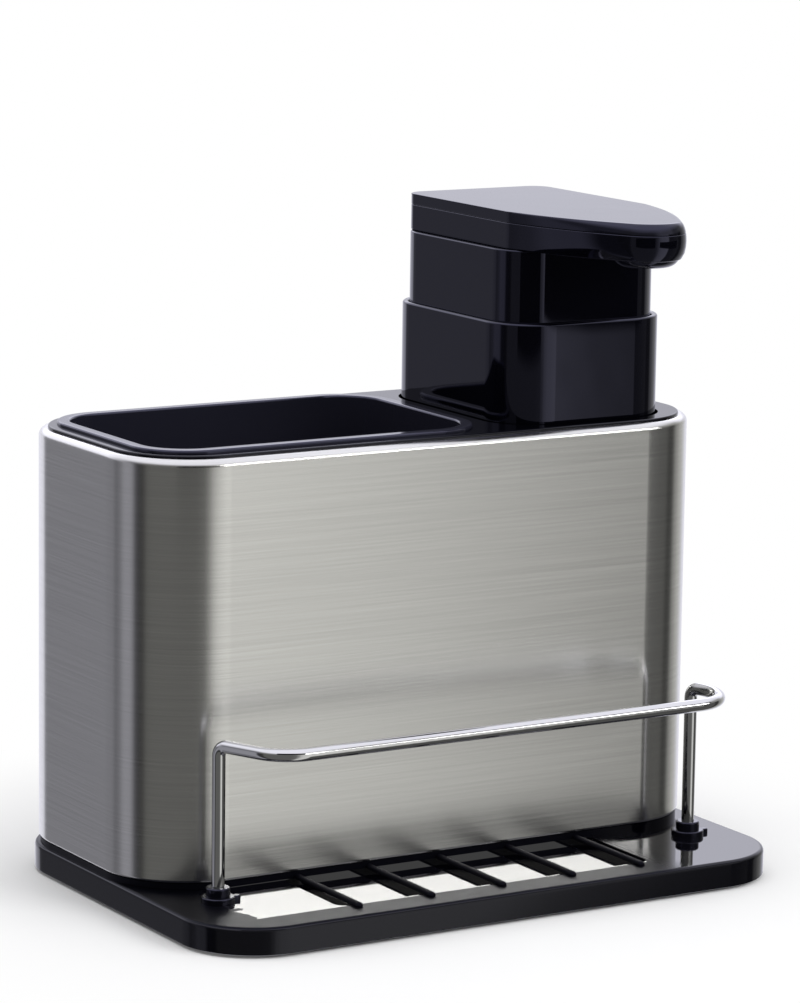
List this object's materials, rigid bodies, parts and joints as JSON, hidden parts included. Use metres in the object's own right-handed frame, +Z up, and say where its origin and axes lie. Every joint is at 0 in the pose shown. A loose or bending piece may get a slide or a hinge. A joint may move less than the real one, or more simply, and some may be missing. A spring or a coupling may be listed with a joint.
{
  "type": "soap pump caddy",
  "caption": "Sink caddy: a brushed steel sleeve on a gloss black tray holds a lift-out utensil bin and a pump soap bottle, behind a ribbed sponge rack with a wire rail.",
  "frame": {"origin": "on the table, under the middle of the tray", "axes": "+Z up, -Y to the front with the nozzle and the rail, +X to the side of the bottle"},
  "size_m": [0.22, 0.15, 0.2227],
  "materials": {
    "gloss_black": "moulded black plastic, mirror gloss",
    "bin_black": "moulded black plastic, gloss",
    "collar_black": "moulded black plastic, gloss",
    "bottle_black": "moulded black plastic, mirror gloss",
    "pump_black": "moulded black plastic, mirror gloss",
    "cover_black": "moulded black plastic, satin gloss",
    "inner_black": "moulded black plastic, satin",
    "natural_plastic": "natural polypropylene",
    "piston_plastic": "soft polyethylene",
    "brushed_steel": "brushed stainless sheet, vertical grain",
    "rail_chrome": "bright plated wire",
    "screw_steel": "zinc plated steel",
    "ball_steel": "polished stainless steel",
    "foot_rubber": "matt rubber",
    "gasket_rubber": "grey elastomer"
  },
  "bodies": {
    "stand": {"base_tray": "gloss_black", "rubber_feet": "foot_rubber", "base_screws": "screw_steel", "steel_sleeve": "brushed_steel", "inner_frame": "gloss_black", "wire_rail": "rail_chrome", "rail_collars": "collar_black", "rail_clips": "screw_steel"},
    "bin": {"utensil_bin": "bin_black"},
    "bottle": {"soap_bottle": "bottle_black", "neck_plate": "inner_black", "neck_gasket": "gasket_rubber", "pump_cylinder": "natural_plastic", "chaplet": "inner_black", "ball_cage": "natural_plastic", "dip_tube": "natural_plastic", "pump_spring": "ball_steel"},
    "closure": {"screw_closure": "inner_black"},
    "valve": {"inlet_ball": "ball_steel"},
    "plunger": {"pump_stem": "natural_plastic", "plunger_rod": "natural_plastic", "piston": "piston_plastic"},
    "press_cap": {"press_skirt": "pump_black", "head_body": "pump_black", "nozzle_tube": "natural_plastic", "head_plate": "cover_black"}
  },
  "joints": [
    {"name": "bin_lift", "type": "slide", "parent": "stand", "child": "bin", "axis": [0, 0, 1], "range_m": [0, 0.145]},
    {"name": "bottle_lift", "type": "slide", "parent": "stand", "child": "bottle", "axis": [0, 0, 1], "range_m": [0, 0.145]},
    {"name": "closure_turn", "type": "hinge", "parent": "bottle", "child": "closure", "pos_m": [0.0637, 0.0245, 0.184], "axis": [0, 0, 1], "range_deg": [0, 360]},
    {"name": "valve_lift", "type": "slide", "parent": "bottle", "child": "valve", "axis": [0, 0, 1], "range_m": [0, 0.0012]},
    {"name": "press", "type": "slide", "parent": "bottle", "child": "plunger", "axis": [0, 0, -1], "range_m": [0, 0.012], "stiffness_N_per_m": 400, "springref_m": -0.01, "deforming": ["pump_spring"]},
    {"name": "cap_pull", "type": "slide", "parent": "plunger", "child": "press_cap", "axis": [0, 0, 1], "range_m": [0, 0.03]}
  ]
}
